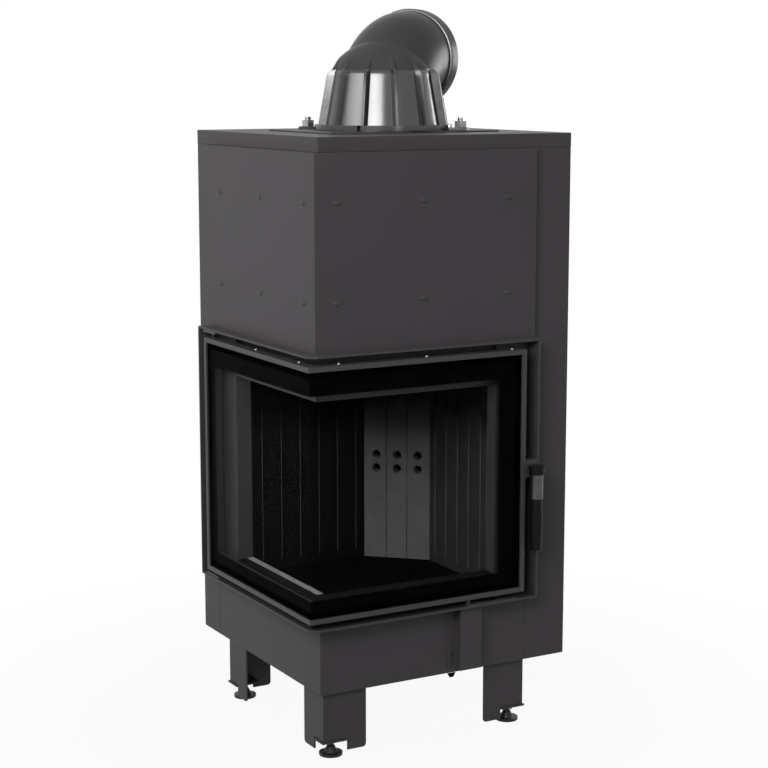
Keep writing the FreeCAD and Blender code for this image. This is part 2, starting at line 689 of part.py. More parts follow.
def make_flue():
    """Plate, clamp ring and studs, finned base, elbow that turns on a slanted joint, and collar."""
    heading = math.radians(flue_heading)
    outlet = point(math.sin(heading), math.cos(heading), 0)
    hinge_line = point(-math.cos(heading), math.sin(heading), 0)
    axis_foot = point(flue_x, flue_y, flue_floor + bend_start)
    bend_centre = axis_foot + outlet * bend_radius
    tilt = math.radians(joint_angle)
    slant = outlet * math.sin(tilt) + up * math.cos(tilt)
    joint = bend_centre + up * (bend_radius * math.sin(tilt)) - outlet * (bend_radius * math.cos(tilt))

    half_x, half_y = neck_radius + flue_plate_side, neck_radius + flue_plate_end
    sheet = box(flue_x - half_x, flue_x + half_x, flue_y - half_y, flue_y + half_y, body_height, flue_floor)
    save("flue_plate", sheet.cut(cylinder(flue_x, flue_y, body_height, flue_floor, neck_radius + neck_play)))
    neck = cylinder(flue_x, flue_y, roof_top, flue_floor + neck_rise, neck_radius)
    save("flue_neck", neck.cut(cylinder(flue_x, flue_y, roof_top, flue_floor + neck_rise,
                                        neck_radius - neck_sheet)))

    flange_top = flue_floor + flange_thickness
    clamp_top = flue_floor + clamp_height
    ring = cylinder(flue_x, flue_y, flue_floor, clamp_top, tube_radius + clamp_rim)
    studs = []
    for turn in (ear_heading, ear_heading + 180):
        x = flue_x + (tube_radius + stud_rim) * math.cos(math.radians(turn))
        y = flue_y + (tube_radius + stud_rim) * math.sin(math.radians(turn))
        ear = box(0, tube_radius + ear_rim, -ear_width / 2, ear_width / 2,
                  flue_floor, flue_floor + ear_thickness)
        ear.rotate(point(0, 0, 0), up, turn)
        ring = ring.fuse(ear.translated(point(flue_x, flue_y, 0)))
        ring = ring.cut(cylinder(x, y, flue_floor, clamp_top, stud_radius + clamp_play))
        stud = cylinder(x, y, flue_floor, flue_floor + stud_height, stud_radius)
        nut_foot = flue_floor + ear_thickness
        studs.append(stud.fuse(hexagon(x, y, nut_foot, nut_foot + nut_height, nut_width)))
    lug_radius = tube_radius + clamp_lug_rim
    lug = Part.makeCylinder(lug_radius, clamp_height, point(flue_x, flue_y, flue_floor), up, clamp_lug_sweep)
    lug.rotate(point(flue_x, flue_y, 0), up, clamp_gap_heading - clamp_lug_sweep)
    ring = ring.fuse(lug)
    ring = ring.cut(cylinder(flue_x, flue_y, flue_floor, flange_top + clamp_play, flange_radius + clamp_play))
    ring = ring.cut(cylinder(flue_x, flue_y, flue_floor, clamp_top, tube_radius + clamp_lip_rim))
    gap = box(0, lug_radius + clamp_gap, -clamp_gap / 2, clamp_gap / 2, flue_floor, clamp_top)
    gap.rotate(point(0, 0, 0), up, clamp_gap_heading)
    save("clamp_ring", ring.cut(gap.translated(point(flue_x, flue_y, 0))))
    save("flue_studs", Part.makeCompound(studs))

    flange_ring = cylinder(flue_x, flue_y, flue_floor, flange_top, flange_radius)
    span = 4 * tube_radius
    shoulder = flue_dome().common(Part.makeCylinder(tube_radius + shoulder_bulge, span,
                                                    joint - slant * (span / 2), slant))
    base = flue_cone(0).fuse([flange_ring, shoulder])
    fin_foot = clamp_top + clamp_play
    fin_top = flue_floor + fin_height
    fin_root = cone_top_radius - flue_wall
    fin_profile = [(fin_root, fin_foot), (tube_radius + fin_foot_rim, fin_foot),
                   (tube_radius + fin_top_rim, fin_top), (fin_root, fin_top), (fin_root, fin_foot)]
    fins = []
    for k in range(fin_count):
        wire = Part.makePolygon([point(x, -fin_thickness / 2, z) for x, z in fin_profile])
        fin = Part.Face(wire).extrude(back * fin_thickness)
        fin.rotate(point(0, 0, 0), up, fin_phase + 360 / fin_count * k)
        fins.append(fin.translated(point(flue_x, flue_y, 0)))
    above = Part.makeCylinder(span, span, joint - slant * joint_gap, slant)
    above_seat = Part.makeCylinder(span, span, joint - slant * (joint_gap + seat_depth), slant)
    hollow = flue_cone(flue_wall).cut(above_seat)
    throat = Part.makeCylinder(spigot_radius + running_play, throat_depth,
                               joint - slant * throat_depth, slant)
    save("flue_base", base.fuse(fins).cut(above).cut(hollow).cut(throat))

    outer = Part.Face(Part.Wire(Part.makeCircle(tube_radius, joint, slant)))
    inner = Part.Face(Part.Wire(Part.makeCircle(tube_radius - flue_wall, joint, slant)))
    bend = outer.cut(inner).revolve(bend_centre, hinge_line, 90 - joint_angle)
    bend_end = bend_centre + up * bend_radius
    outlet_end = bend_end + outlet * outlet_straight
    pipe = Part.makeCylinder(tube_radius, outlet_straight, bend_end, outlet)
    pipe = pipe.cut(Part.makeCylinder(tube_radius - flue_wall, outlet_straight, bend_end, outlet))
    inner_radius = spigot_radius - spigot_wall
    spigot = Part.makeCylinder(spigot_radius, seat_depth + spigot_flange, joint - slant * seat_depth, slant)
    flange = Part.makeCylinder(tube_radius - flue_wall / 2, spigot_flange, joint, slant)
    through = Part.makeCylinder(inner_radius, 2 * seat_depth + spigot_flange,
                                joint - slant * seat_depth, slant)
    save("flue_elbow", bend.fuse([pipe, spigot.fuse(flange).cut(through)]))

    collar = Part.makeCylinder(tube_radius + collar_rim, collar_length, outlet_end, outlet)
    near_edge = [e for e in collar.Edges if abs((e.CenterOfMass - outlet_end).dot(outlet)) < collar_edge
                 and e.isClosed()]
    collar = collar.makeFillet(collar_edge, near_edge)
    collar = collar.cut(Part.makeCylinder(tube_radius - flue_wall, collar_length, outlet_end, outlet))
    socket_floor = outlet_end + outlet * collar_floor
    collar = collar.cut(Part.makeCylinder(tube_radius + socket_play, collar_length, socket_floor, outlet))
    save("flue_collar", collar)


def mirrored_to_corner(shape, right, rear):
    """Copy of a front left leg piece, moved to one of the four corners by mirroring."""
    middle = point((leg_inset + body_width - leg_margin_right) / 2,
                   (leg_inset + body_depth - leg_margin_rear) / 2, 0)
    if right:
        shape = shape.mirror(middle, point(1, 0, 0))
    if rear:
        shape = shape.mirror(middle, back)
    return shape


def make_legs():
    """Folded legs with notched corners, foot plates and levelling feet."""
    near = leg_inset
    x_end, y_end = near + leg_front_width, near + leg_side_width
    leg = plate([(near, near), (x_end, near), (x_end, near + leg_sheet), (near + leg_sheet, near + leg_sheet),
                 (near + leg_sheet, y_end), (near, y_end)], -leg_height, 0)
    notch_top = notch_height - leg_height
    leg = leg.cut(box(near, near + notch_front, near, near + notch_side, -leg_height, notch_top))
    bottom_corners = []
    for edge in leg.Edges:
        middle = edge.CenterOfMass
        across_sheet = abs(edge.Length - leg_sheet) < leg_sheet / 4
        at_free_end = middle.x > x_end - leg_sheet / 4 or middle.y > y_end - leg_sheet / 4
        if across_sheet and at_free_end and middle.z < notch_top:
            bottom_corners.append(edge)
    leg = leg.makeFillet(leg_corner_radius, bottom_corners)

    foot_x, foot_y = near + foot_inset_x, near + foot_inset_y
    plate_foot = notch_top - foot_plate_sheet
    foot_plate = box(near - foot_plate_proud, near + notch_front, near - foot_plate_proud, near + notch_side,
                     plate_foot, notch_top)
    nut_top = notch_top + foot_nut_height
    foot_plate = foot_plate.fuse(hexagon(foot_x, foot_y, notch_top, nut_top, foot_nut_width))
    foot_plate = foot_plate.cut(cylinder(foot_x, foot_y, plate_foot, 0, foot_stud_radius + running_play))
    pad_top = floor_level + foot_pad_height
    neck_level = pad_top + foot_cone_height
    foot = turned(foot_x, foot_y, [(0, floor_level), (foot_pad_radius, floor_level),
                                   (foot_pad_radius, pad_top), (foot_cone_radius, pad_top),
                                   (foot_neck_radius, neck_level),
                                   (foot_stud_radius, neck_level), (foot_stud_radius, -foot_stud_top),
                                   (0, -foot_stud_top)])
    legs, foot_plates = [], []
    for rear, depth_name in ((False, "front"), (True, "rear")):
        for right, side_name in ((False, "left"), (True, "right")):
            legs.append(mirrored_to_corner(leg, right, rear))
            foot_plates.append(mirrored_to_corner(foot_plate, right, rear))
            save("foot_" + depth_name + "_" + side_name, mirrored_to_corner(foot, right, rear))
    save("legs", Part.makeCompound(legs))
    save("foot_plates", Part.makeCompound(foot_plates))


os.makedirs("parts", exist_ok=True)
make_casing()
make_upper_jacket()
make_surround()
make_fire_chamber()
make_door()
make_handle()
make_air_supply()
make_flue()
make_legs()
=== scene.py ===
import json
import math

import bmesh
import bpy
from bpy.props import FloatProperty, FloatVectorProperty, PointerProperty
from mathutils import Matrix, Vector
from mathutils.bvhtree import BVHTree


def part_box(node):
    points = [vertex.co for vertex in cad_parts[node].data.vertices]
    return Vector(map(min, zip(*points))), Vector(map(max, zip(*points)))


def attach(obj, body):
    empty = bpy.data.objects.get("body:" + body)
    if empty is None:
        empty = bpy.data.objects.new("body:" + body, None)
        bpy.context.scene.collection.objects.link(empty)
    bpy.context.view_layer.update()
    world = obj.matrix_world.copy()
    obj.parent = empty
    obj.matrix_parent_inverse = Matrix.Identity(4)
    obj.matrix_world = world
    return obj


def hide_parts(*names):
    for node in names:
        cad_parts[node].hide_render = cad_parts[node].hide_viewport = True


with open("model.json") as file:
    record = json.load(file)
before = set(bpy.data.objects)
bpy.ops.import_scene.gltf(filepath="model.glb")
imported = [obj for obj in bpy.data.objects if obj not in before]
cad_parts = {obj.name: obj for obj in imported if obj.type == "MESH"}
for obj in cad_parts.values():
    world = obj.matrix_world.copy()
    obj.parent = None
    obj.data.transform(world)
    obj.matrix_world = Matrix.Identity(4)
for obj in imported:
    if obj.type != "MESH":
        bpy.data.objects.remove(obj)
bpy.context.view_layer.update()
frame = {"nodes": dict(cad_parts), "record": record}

bl_info = {
    "name": "Fireplace insert looks",
    "version": (1, 0, 0),
    "blender": (4, 5, 0),
    "location": "View3D > Sidebar > Insert",
    "description": "Dresses a corner fireplace insert and sets up its studio",
    "category": "Object",
}

nodes = frame["nodes"]
body_of = {n: b for b, ns in frame["record"]["behaviour"]["bodies"].items() for n in ns}

# Lower front left corner of the body: the insert's own zero point
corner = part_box("base_jacket")[0]

UP, TO_FRONT, TO_LEFT = Vector((0, 0, 1)), Vector((0, -1, 0)), Vector((-1, 0, 0))

# Heights in millimetres between which the painted shadow under the lintel and baffle darkens the lining to its fullest
PAINTED_SHADE_STARTS, PAINTED_SHADE_FULL = 445, 525

# Range that holds nearly all values of a noise texture
NOISE_LOW, NOISE_HIGH = 0.3, 0.7

# What each shared surface effect gives to its material
SURFACE = (("Colour", "NodeSocketColor"), ("Roughness", "NodeSocketFloat"), ("Height", "NodeSocketFloat"))


def at(x, y, z):
    """Point given in millimetres from the body's lower front left corner."""
    return corner + Vector((x, y, z)) / 1000


class CasingLook(bpy.types.PropertyGroup):
    """Finish of the folded sheets."""
    paint: FloatVectorProperty(name="Paint", description="Powder coat of the casing", subtype="COLOR", size=3,
                               min=0, max=1, default=(0.054, 0.0492, 0.054))
    door_paint: FloatVectorProperty(name="Door paint", description="Powder coat of the door frame", subtype="COLOR",
                                    size=3, min=0, max=1, default=(0.051, 0.0468, 0.051))
    fold: FloatProperty(name="Fold radius", description="Rounding of the sheets' edges", unit="LENGTH",
                        default=0.0016, min=0.0001, max=0.004)


class GlassLook(bpy.types.PropertyGroup):
    """Black border printed on the door's panes."""
    print_top: FloatProperty(name="Top edge", description="Height of the top border's lower edge, in millimetres",
                             default=615.0)
    print_bottom: FloatProperty(name="Bottom edge", description="Height of the bottom border's upper edge, in "
                                "millimetres", default=207.0)
    print_right: FloatProperty(name="Right edge", description="Inner edge of the right border, in millimetres",
                               default=389.0)
    print_rear: FloatProperty(name="Rear edge", description="Inner edge of the rear border, in millimetres",
                              default=401.0)
    print_fade: FloatProperty(name="Fade", description="Width over which the border fades out, in millimetres",
                              default=12.0)
    print_depth: FloatProperty(name="Print thickness", description="Thickness of the printed layer", unit="LENGTH",
                               default=0.0002)


class FireLook(bpy.types.PropertyGroup):
    """Finish of the lining and of the flue."""
    lining: FloatVectorProperty(name="Lining", description="Fired clay of the chamber", subtype="COLOR", size=3,
                                min=0, max=1, default=(0.0083, 0.008, 0.0081))
    flue: FloatVectorProperty(name="Flue", description="Enamel of the flue castings", subtype="COLOR", size=3,
                              min=0, max=1, default=(0.004, 0.0038, 0.004))
    flue_roughness: FloatProperty(name="Flue roughness", description="Gloss of the flue castings", default=0.2,
                                  min=0.02, max=1)


class StudioLook(bpy.types.PropertyGroup):
    """Lamps and background."""
    front: FloatProperty(name="Front lamp", description="Power of the bright lamp left of the camera, in watts",
                         default=19.5)
    side: FloatProperty(name="Side lamp", description="Power of the soft lamp on the left, in watts", default=3.6)
    right: FloatProperty(name="Right lamp", description="Power of the small lamp behind on the right, in watts",
                         default=45.0)
    strip: FloatProperty(name="Strip lamp", description="Power of the narrow lamp right of the camera, in watts",
                         default=8.0)
    room: FloatProperty(name="Room light", description="Strength of the even light from all sides", default=0.22)


def looks(name):
    """One of the settings groups."""
    return getattr(bpy.context.scene, "insert_" + name)


# Shader building


def add(tree, kind, x, y, **settings):
    """New node with its settings and its input values."""
    node = tree.nodes.new(kind)
    node.location = (x, y)
    inputs = settings.pop("inputs", {})
    for key, value in settings.items():
        setattr(node, key, value)
    for key, value in inputs.items():
        node.inputs[key].default_value = value
    return node


def noise(tree, x, y, coords, scale, detail, rough):
    """Noise texture on given coordinates."""
    node = add(tree, "ShaderNodeTexNoise", x, y, inputs={"Scale": scale, "Detail": detail, "Roughness": rough})
    tree.links.new(coords, node.inputs["Vector"])
    return node.outputs["Fac"]


def spread(tree, x, y, value, low, high, to_low, to_high):
    """Value mapped from one range to another."""
    node = add(tree, "ShaderNodeMapRange", x, y, inputs={"From Min": low, "From Max": high, "To Min": to_low,
                                                         "To Max": to_high})
    tree.links.new(value, node.inputs["Value"])
    return node.outputs["Result"]


def vary(tree, x, y, value, to_low, to_high):
    """Noise mapped to another range."""
    return spread(tree, x, y, value, NOISE_LOW, NOISE_HIGH, to_low, to_high)


def math_node(tree, x, y, operation, a, b):
    """Sum, product or other operation on two values."""
    node = add(tree, "ShaderNodeMath", x, y, operation=operation)
    for socket, value in zip(node.inputs, (a, b)):
        if isinstance(value, (int, float)):
            socket.default_value = value
        else:
            tree.links.new(value, socket)
    return node.outputs[0]


def group_frame(name):
    """Empty shader group with a colour and a roughness input: the group, both inputs and the coordinates."""
    group = bpy.data.node_groups.new(name, "ShaderNodeTree")
    group.interface.new_socket("Colour", in_out="INPUT", socket_type="NodeSocketColor")
    group.interface.new_socket("Roughness", in_out="INPUT", socket_type="NodeSocketFloat")
    for label, kind in SURFACE:
        group.interface.new_socket(label, in_out="OUTPUT", socket_type=kind)
    start = add(group, "NodeGroupInput", -900, 0)
    coords = add(group, "ShaderNodeTexCoord", -900, -300).outputs["Object"]
    return group, start.outputs["Colour"], start.outputs["Roughness"], coords


def surface(group, *results):
    """Send colour, roughness and height to the outputs of a shader group."""
    end = add(group, "NodeGroupOutput", 500, 0)
    for (label, kind), result in zip(SURFACE, results):
        group.links.new(result, end.inputs[label])
    return group


def tone(tree, x, y, colour, factor):
    """Colour multiplied by a value that changes over the surface."""
    node = add(tree, "ShaderNodeMix", x, y, data_type="RGBA", blend_type="MULTIPLY", inputs={"Factor": 1.0})
    tree.links.new(colour, node.inputs["A"])
    tree.links.new(factor, node.inputs["B"])
    return node.outputs["Result"]


def powder_coat_group():
    """Fine orange peel of powder coat, with faint clouds in tone and gloss."""
    group, colour, gloss, coords = group_frame("powder_coat")
    peel = noise(group, -600, -200, coords, 620, 2, 0.6)
    grain = noise(group, -600, -450, coords, 2300, 1, 0.5)
    cloud = noise(group, -600, 200, coords, 3.5, 4, 0.55)
    colour = tone(group, 200, 200, colour, vary(group, -200, 250, cloud, 0.93, 1.06))
    gloss = math_node(group, 0, 0, "MULTIPLY", vary(group, -200, 0, cloud, 0.94, 1.06), gloss)
    gloss = math_node(group, 200, 0, "ADD", gloss, vary(group, 0, -150, grain, -0.02, 0.02))
    height = math_node(group, 0, -350, "ADD", peel, math_node(group, -200, -450, "MULTIPLY", grain, 0.35))
    return surface(group, colour, gloss, height)


def fired_clay_group():
    """Sandy skin of pressed and fired panels, with soft blotches, dark pores and a painted shadow under the roof."""
    group, colour, gloss, coords = group_frame("fired_clay")
    sand = noise(group, -600, -200, coords, 700, 3, 0.65)
    blotch = noise(group, -600, 200, coords, 14, 5, 0.6)
    pores = add(group, "ShaderNodeTexVoronoi", -600, -450, inputs={"Scale": 260.0})
    group.links.new(coords, pores.inputs["Vector"])
    pore = spread(group, -350, -450, pores.outputs["Distance"], 0.05, 0.22, 0.0, 1.0)
    shade = math_node(group, -100, 150, "MULTIPLY", vary(group, -350, 200, blotch, 0.86, 1.12),
                      vary(group, -350, -50, sand, 0.93, 1.07))
    axes = add(group, "ShaderNodeSeparateXYZ", -800, 450)
    group.links.new(coords, axes.inputs[0])
    level = math_node(group, -450, 450, "ADD", axes.outputs["Z"], vary(group, -600, 600, blotch, -0.02, 0.02))
    # Painted shadow: the panels darken towards their tops, where the lintel and baffle shade them, and grow rougher
    # there
    painted_roof_shade = spread(group, -250, 450, level, at(0, 0, PAINTED_SHADE_STARTS).z, at(0, 0, PAINTED_SHADE_FULL).z, 0.0, 1.0)
    shade = math_node(group, 0, 300, "MULTIPLY", shade, spread(group, -100, 450, painted_roof_shade, 0.0, 1.0, 1.0, 0.1))
    gloss = math_node(group, 100, 50, "ADD", gloss, vary(group, 0, 0, sand, -0.05, 0.05))
    gloss = math_node(group, 250, 0, "ADD", gloss, math_node(group, 100, -100, "MULTIPLY", painted_roof_shade, 0.3))
    height = math_node(group, 200, -300, "ADD", sand, math_node(group, 0, -400, "MULTIPLY", pore, 0.6))
    return surface(group, tone(group, 200, 200, colour, shade), gloss, height)


def casting_group():
    """Smooth coated casting: long soft waves, faint pits and a thin veil of uneven gloss."""
    group, colour, gloss, coords = group_frame("coated_casting")
    wave = noise(group, -600, -200, coords, 22, 2, 0.45)
    pit = noise(group, -600, -450, coords, 380, 2, 0.55)
    veil = noise(group, -600, 200, coords, 9, 4, 0.6)
    colour = tone(group, 200, 200, colour, vary(group, -200, 200, veil, 0.88, 1.1))
    gloss = math_node(group, 200, 0, "ADD", gloss, vary(group, -200, 0, veil, -0.03, 0.06))
    height = math_node(group, 200, -300, "ADD", wave, math_node(group, 0, -450, "MULTIPLY", pit, 0.05))
    return surface(group, colour, gloss, height)


def drawn_steel_group():
    """Fine upright drawing lines on bright steel, with faint tarnish."""
    group, colour, gloss, coords = group_frame("drawn_steel")
    stretch = add(group, "ShaderNodeMapping", -750, -200, inputs={"Scale": (1.0, 1.0, 0.02)})
    group.links.new(coords, stretch.inputs["Vector"])
    lines = noise(group, -550, -200, stretch.outputs["Vector"], 1500, 2, 0.5)
    tarnish = noise(group, -550, 200, coords, 60, 4, 0.6)
    colour = tone(group, 200, 200, colour, vary(group, -200, 200, tarnish, 0.8, 1.1))
    gloss = math_node(group, 200, 0, "ADD", gloss, vary(group, -200, 0, lines, -0.08, 0.1))
    return surface(group, colour, gloss, lines)


def rope_group():
    """Plaited glass fibre: crossing strands with fuzz."""
    group, colour, gloss, coords = group_frame("plaited_rope")
    strands = []
    for y, turn in ((0, 0.75), (-300, -0.75)):
        turned = add(group, "ShaderNodeMapping", -750, y, inputs={"Rotation": (turn, turn, turn)})
        group.links.new(coords, turned.inputs["Vector"])
        wave = add(group, "ShaderNodeTexWave", -550, y, inputs={"Scale": 130.0, "Distortion": 1.2})
        group.links.new(turned.outputs["Vector"], wave.inputs["Vector"])
        strands.append(wave.outputs["Fac"])
    plait = math_node(group, -300, -100, "MAXIMUM", *strands)
    fuzz = noise(group, -550, 300, coords, 1800, 3, 0.6)
    colour = tone(group, 200, 200, colour, spread(group, 0, 100, plait, 0.0, 1.0, 0.5, 1.15))
    gloss = math_node(group, 200, 0, "ADD", gloss, vary(group, 0, -50, fuzz, -0.05, 0.05))
    height = math_node(group, 200, -250, "ADD", plait, math_node(group, 0, -350, "MULTIPLY", fuzz, 0.3))
    return surface(group, colour, gloss, height)


GROUPS = {"powder_coat": powder_coat_group, "fired_clay": fired_clay_group, "coated_casting": casting_group,
          "drawn_steel": drawn_steel_group, "plaited_rope": rope_group}


def blank(holder, output):
    """Emptied node tree of a material or world, with its output node."""
    holder.use_nodes = True
    tree = holder.node_tree
    tree.nodes.clear()
    return tree, add(tree, output, 600, 0)


def mix_to(output, tree, share, first, second):
    """Mix two shaders by a share and send them to the output."""
    mix = add(tree, "ShaderNodeMixShader", 350, 0)
    for socket, source in zip(mix.inputs, (share, first, second)):
        tree.links.new(source, socket)
    tree.links.new(mix.outputs["Shader"], output.inputs["Surface"])


def finish(name, effect, colour, roughness, depth, metallic=0.0, specular=0.5):
    """Material whose colour, gloss and relief come from one shared effect."""
    found = bpy.data.materials.get(name)
    if found:
        return found
    material = bpy.data.materials.new(name)
    tree, output = blank(material, "ShaderNodeOutputMaterial")
    shader = add(tree, "ShaderNodeBsdfPrincipled", 300, 0,
                 inputs={"Metallic": metallic, "Specular IOR Level": specular})
    group = bpy.data.node_groups.get(effect) or GROUPS[effect]()
    skin = add(tree, "ShaderNodeGroup", -200, 0, node_tree=group)
    skin.inputs["Colour"].default_value = (*colour, 1)
    skin.inputs["Roughness"].default_value = roughness
    relief = add(tree, "ShaderNodeBump", 50, -250, inputs={"Strength": 1.0, "Distance": depth})
    tree.links.new(skin.outputs["Colour"], shader.inputs["Base Color"])
    tree.links.new(skin.outputs["Roughness"], shader.inputs["Roughness"])
    tree.links.new(skin.outputs["Height"], relief.inputs["Height"])
    tree.links.new(relief.outputs["Normal"], shader.inputs["Normal"])
    tree.links.new(shader.outputs["BSDF"], output.inputs["Surface"])
    material.diffuse_color = (*colour, 1)
    return material


def casing_paint():
    return finish("casing_powder_coat", "powder_coat", looks("casing").paint, roughness=0.5, depth=0.00006,
                  specular=0.2)


def door_paint():
    return finish("door_powder_coat", "powder_coat", looks("casing").door_paint, roughness=0.42, depth=0.00004,
                  specular=0.25)


def inner_paint():
    return finish("chamber_black", "powder_coat", (0.006, 0.006, 0.006), roughness=0.7, depth=0.00006, specular=0.1)


def lining_clay(part, share, roughness=0.6, specular=0.06):
    """Fired clay of one part of the lining, its colour scaled by a share that paints in the light and shade falling on
    that part.
    """
    return finish(part + "_clay", "fired_clay", [share * c for c in looks("fire").lining], roughness, depth=0.0001,
                  specular=specular)


def flue_coating():
    return finish("flue_enamel", "coated_casting", looks("fire").flue, looks("fire").flue_roughness, depth=0.0004,
                  specular=1.0)


def elbow_coating():
    """Enamel of the elbow, duller than that of the cone, with its reflection nearly off and its colour made paler to
    paint in the even sheen of the enamel.
    """
    return finish("elbow_enamel", "coated_casting", [15 * c for c in looks("fire").flue],
                  looks("fire").flue_roughness + 0.1, depth=0.0002, specular=0.06)


# Bright metal for the collar's rim: a painted highlight along its near edge
def worn_edge():
    return finish("worn_edge", "coated_casting", (0.15, 0.15, 0.152), roughness=0.3, depth=0.00001, metallic=1.0)


def zinc():
    return finish("zinc_plate", "drawn_steel", (0.34, 0.34, 0.35), roughness=0.3, depth=0.00001, metallic=1.0)


def bright_sheet():
    return finish("bright_sheet", "drawn_steel", (0.42, 0.42, 0.425), roughness=0.6, depth=0.00001, metallic=0.35)


def satin_steel():
    return finish("satin_steel", "drawn_steel", (0.08, 0.08, 0.0815), roughness=0.36, depth=0.00001, metallic=1.0)


def blackened_steel():
    return finish("blackened_steel", "drawn_steel", (0.014, 0.014, 0.014), roughness=0.42, depth=0.00002,
                  metallic=0.2, specular=0.3)


def grip_lacquer():
    return finish("grip_lacquer", "powder_coat", (0.004, 0.004, 0.004), roughness=0.5, depth=0.00003, specular=0.1)


def rope_fibre():
    return finish("rope_fibre", "plaited_rope", (0.03, 0.029, 0.028), roughness=0.9, depth=0.0006)


def clear_glass():
    """Heat-proof pane that lets the lamps' light through and mirrors almost nothing."""
    material = bpy.data.materials.new("clear_glass")
    tree, output = blank(material, "ShaderNodeOutputMaterial")
    shader = add(tree, "ShaderNodeBsdfPrincipled", 0, 0,
                 inputs={"Base Color": (0.95, 0.95, 0.95, 1), "Transmission Weight": 1.0, "IOR": 1.012})
    coords = add(tree, "ShaderNodeTexCoord", -800, 0).outputs["Object"]
    haze = noise(tree, -600, 0, coords, 18, 4, 0.6)
    tree.links.new(spread(tree, -300, 0, haze, 0.35, 0.75, 0.0, 0.012), shader.inputs["Roughness"])
    clear = add(tree, "ShaderNodeBsdfTransparent", 0, -400, inputs={"Color": (0.88, 0.88, 0.88, 1)})
    path = add(tree, "ShaderNodeLightPath", 0, 400)
    through = math_node(tree, 200, 300, "MAXIMUM", path.outputs["Is Shadow Ray"], path.outputs["Is Diffuse Ray"])
    mix_to(output, tree, through, shader.outputs["BSDF"], clear.outputs["BSDF"])
    return material


def border_ink():
    """Black enamel fired onto the back of the panes, fading out towards the window."""
    ink = finish("border_ink", "powder_coat", (0.0007, 0.0007, 0.0007), roughness=0.8, depth=0.0, specular=0.02)
    tree = ink.node_tree
    shader = next(n for n in tree.nodes if n.type == "BSDF_PRINCIPLED")
    if shader.inputs["Alpha"].is_linked:
        return ink
    glass = looks("glass")
    fade = glass.print_fade / 1000
    edge = at(glass.print_right, glass.print_rear, glass.print_top)
    sill = at(0, 0, glass.print_bottom).z
    axes = add(tree, "ShaderNodeSeparateXYZ", -600, 500)
    tree.links.new(add(tree, "ShaderNodeTexCoord", -800, 500).outputs["Object"], axes.inputs[0])
    cover = spread(tree, -400, 700, axes.outputs["X"], edge.x - fade, edge.x + fade / 2, 0.0, 1.0)
    for y, axis, start, end in ((550, "Y", edge.y - fade, edge.y + fade), (400, "Z", edge.z - fade / 3, edge.z),
                                (250, "Z", sill + fade / 3, sill)):
        band = spread(tree, -400, y, axes.outputs[axis], start, end, 0.0, 1.0)
        cover = math_node(tree, -200, y, "MAXIMUM", cover, band)
    tree.links.new(cover, shader.inputs["Alpha"])
    return ink


# Pieces


def dress(node, material):
    """Give a node that keeps its own shape a finish."""
    mesh = nodes[node].data
    mesh.materials.clear()
    mesh.materials.append(material)


def keep_piece(name, bm, material, body, smooth=35):
    """Turn a bmesh into a piece that rides on a body."""
    bmesh.ops.recalc_face_normals(bm, faces=bm.faces)
    for face in bm.faces:
        face.smooth = True
    mesh = bpy.data.meshes.new(name)
    bm.to_mesh(mesh)
    bm.free()
    mesh.set_sharp_from_angle(angle=math.radians(smooth))
    mesh.materials.append(material)
    piece = bpy.data.objects.new(name, mesh)
    bpy.context.scene.collection.objects.link(piece)
    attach(piece, body)
    return piece


def rounded(node, width, material, segments=2):
    """Copy of a node with its sharp edges rounded, shown in its place."""
    bm = bmesh.new()
    bm.from_mesh(nodes[node].data)
    bmesh.ops.remove_doubles(bm, verts=bm.verts, dist=1e-5)
    bmesh.ops.dissolve_limit(bm, angle_limit=math.radians(0.5), verts=bm.verts, edges=bm.edges)
    piece = keep_piece(node + "_rounded", bm, material, body_of[node])
    soften(piece, width, segments)
    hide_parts(node)
    return piece


def lathe(bm, foot, axis, profile, steps=96):
    """Turned ring from a closed profile of radius and height, both in millimetres."""
    side = axis.orthogonal().normalized()
    ring = [bm.verts.new(foot + side * (r / 1000) + axis * (h / 1000)) for r, h in profile]
    edges = [bm.edges.new(pair) for pair in zip(ring, ring[1:] + ring[:1])]
    bmesh.ops.spin(bm, geom=ring + edges, cent=foot, axis=axis, angle=math.tau, steps=steps, use_merge=True)


def screw(bm, foot, axis, radius, height):
    """Low domed screw head with a recess."""
    lathe(bm, foot, axis, [(0.02, height * 0.35), (radius * 0.42, height * 0.35), (radius * 0.5, height * 0.95),
                           (radius * 0.72, height), (radius * 0.93, height * 0.72), (radius, height * 0.3),
                           (radius, 0), (0.02, 0)], 18)


def thread(bm, foot, axis, radius, length, pitch):
    """Ridges of a screw thread round a stud."""
    profile = []
    for k in range(int(length / pitch)):
        profile += [(radius, k * pitch), (radius + pitch * 0.25, (k + 0.5) * pitch)]
    lathe(bm, foot, axis, profile + [(radius, length), (radius * 0.6, length), (radius * 0.6, 0)], 28)


def soften(piece, width, segments=2, angle=32):
    """Rounded edges as a modifier."""
    bevel = piece.modifiers.new("edges", "BEVEL")
    bevel.width = width
    bevel.segments = segments
    bevel.limit_method = "ANGLE"
    bevel.angle_limit = math.radians(angle)
    bevel.use_clamp_overlap = True
    bevel.harden_normals = True


def thicken(bm, faces, way):
    """Pull faces out into a solid."""
    grown = bmesh.ops.extrude_face_region(bm, geom=faces)["geom"]
    bmesh.ops.translate(bm, verts=[v for v in grown if isinstance(v, bmesh.types.BMVert)], vec=way)


def ring_edges(verts):
    """Edges at the given vertices, in a steady order."""
    return list(dict.fromkeys(e for v in verts for e in v.link_edges))


# Operators


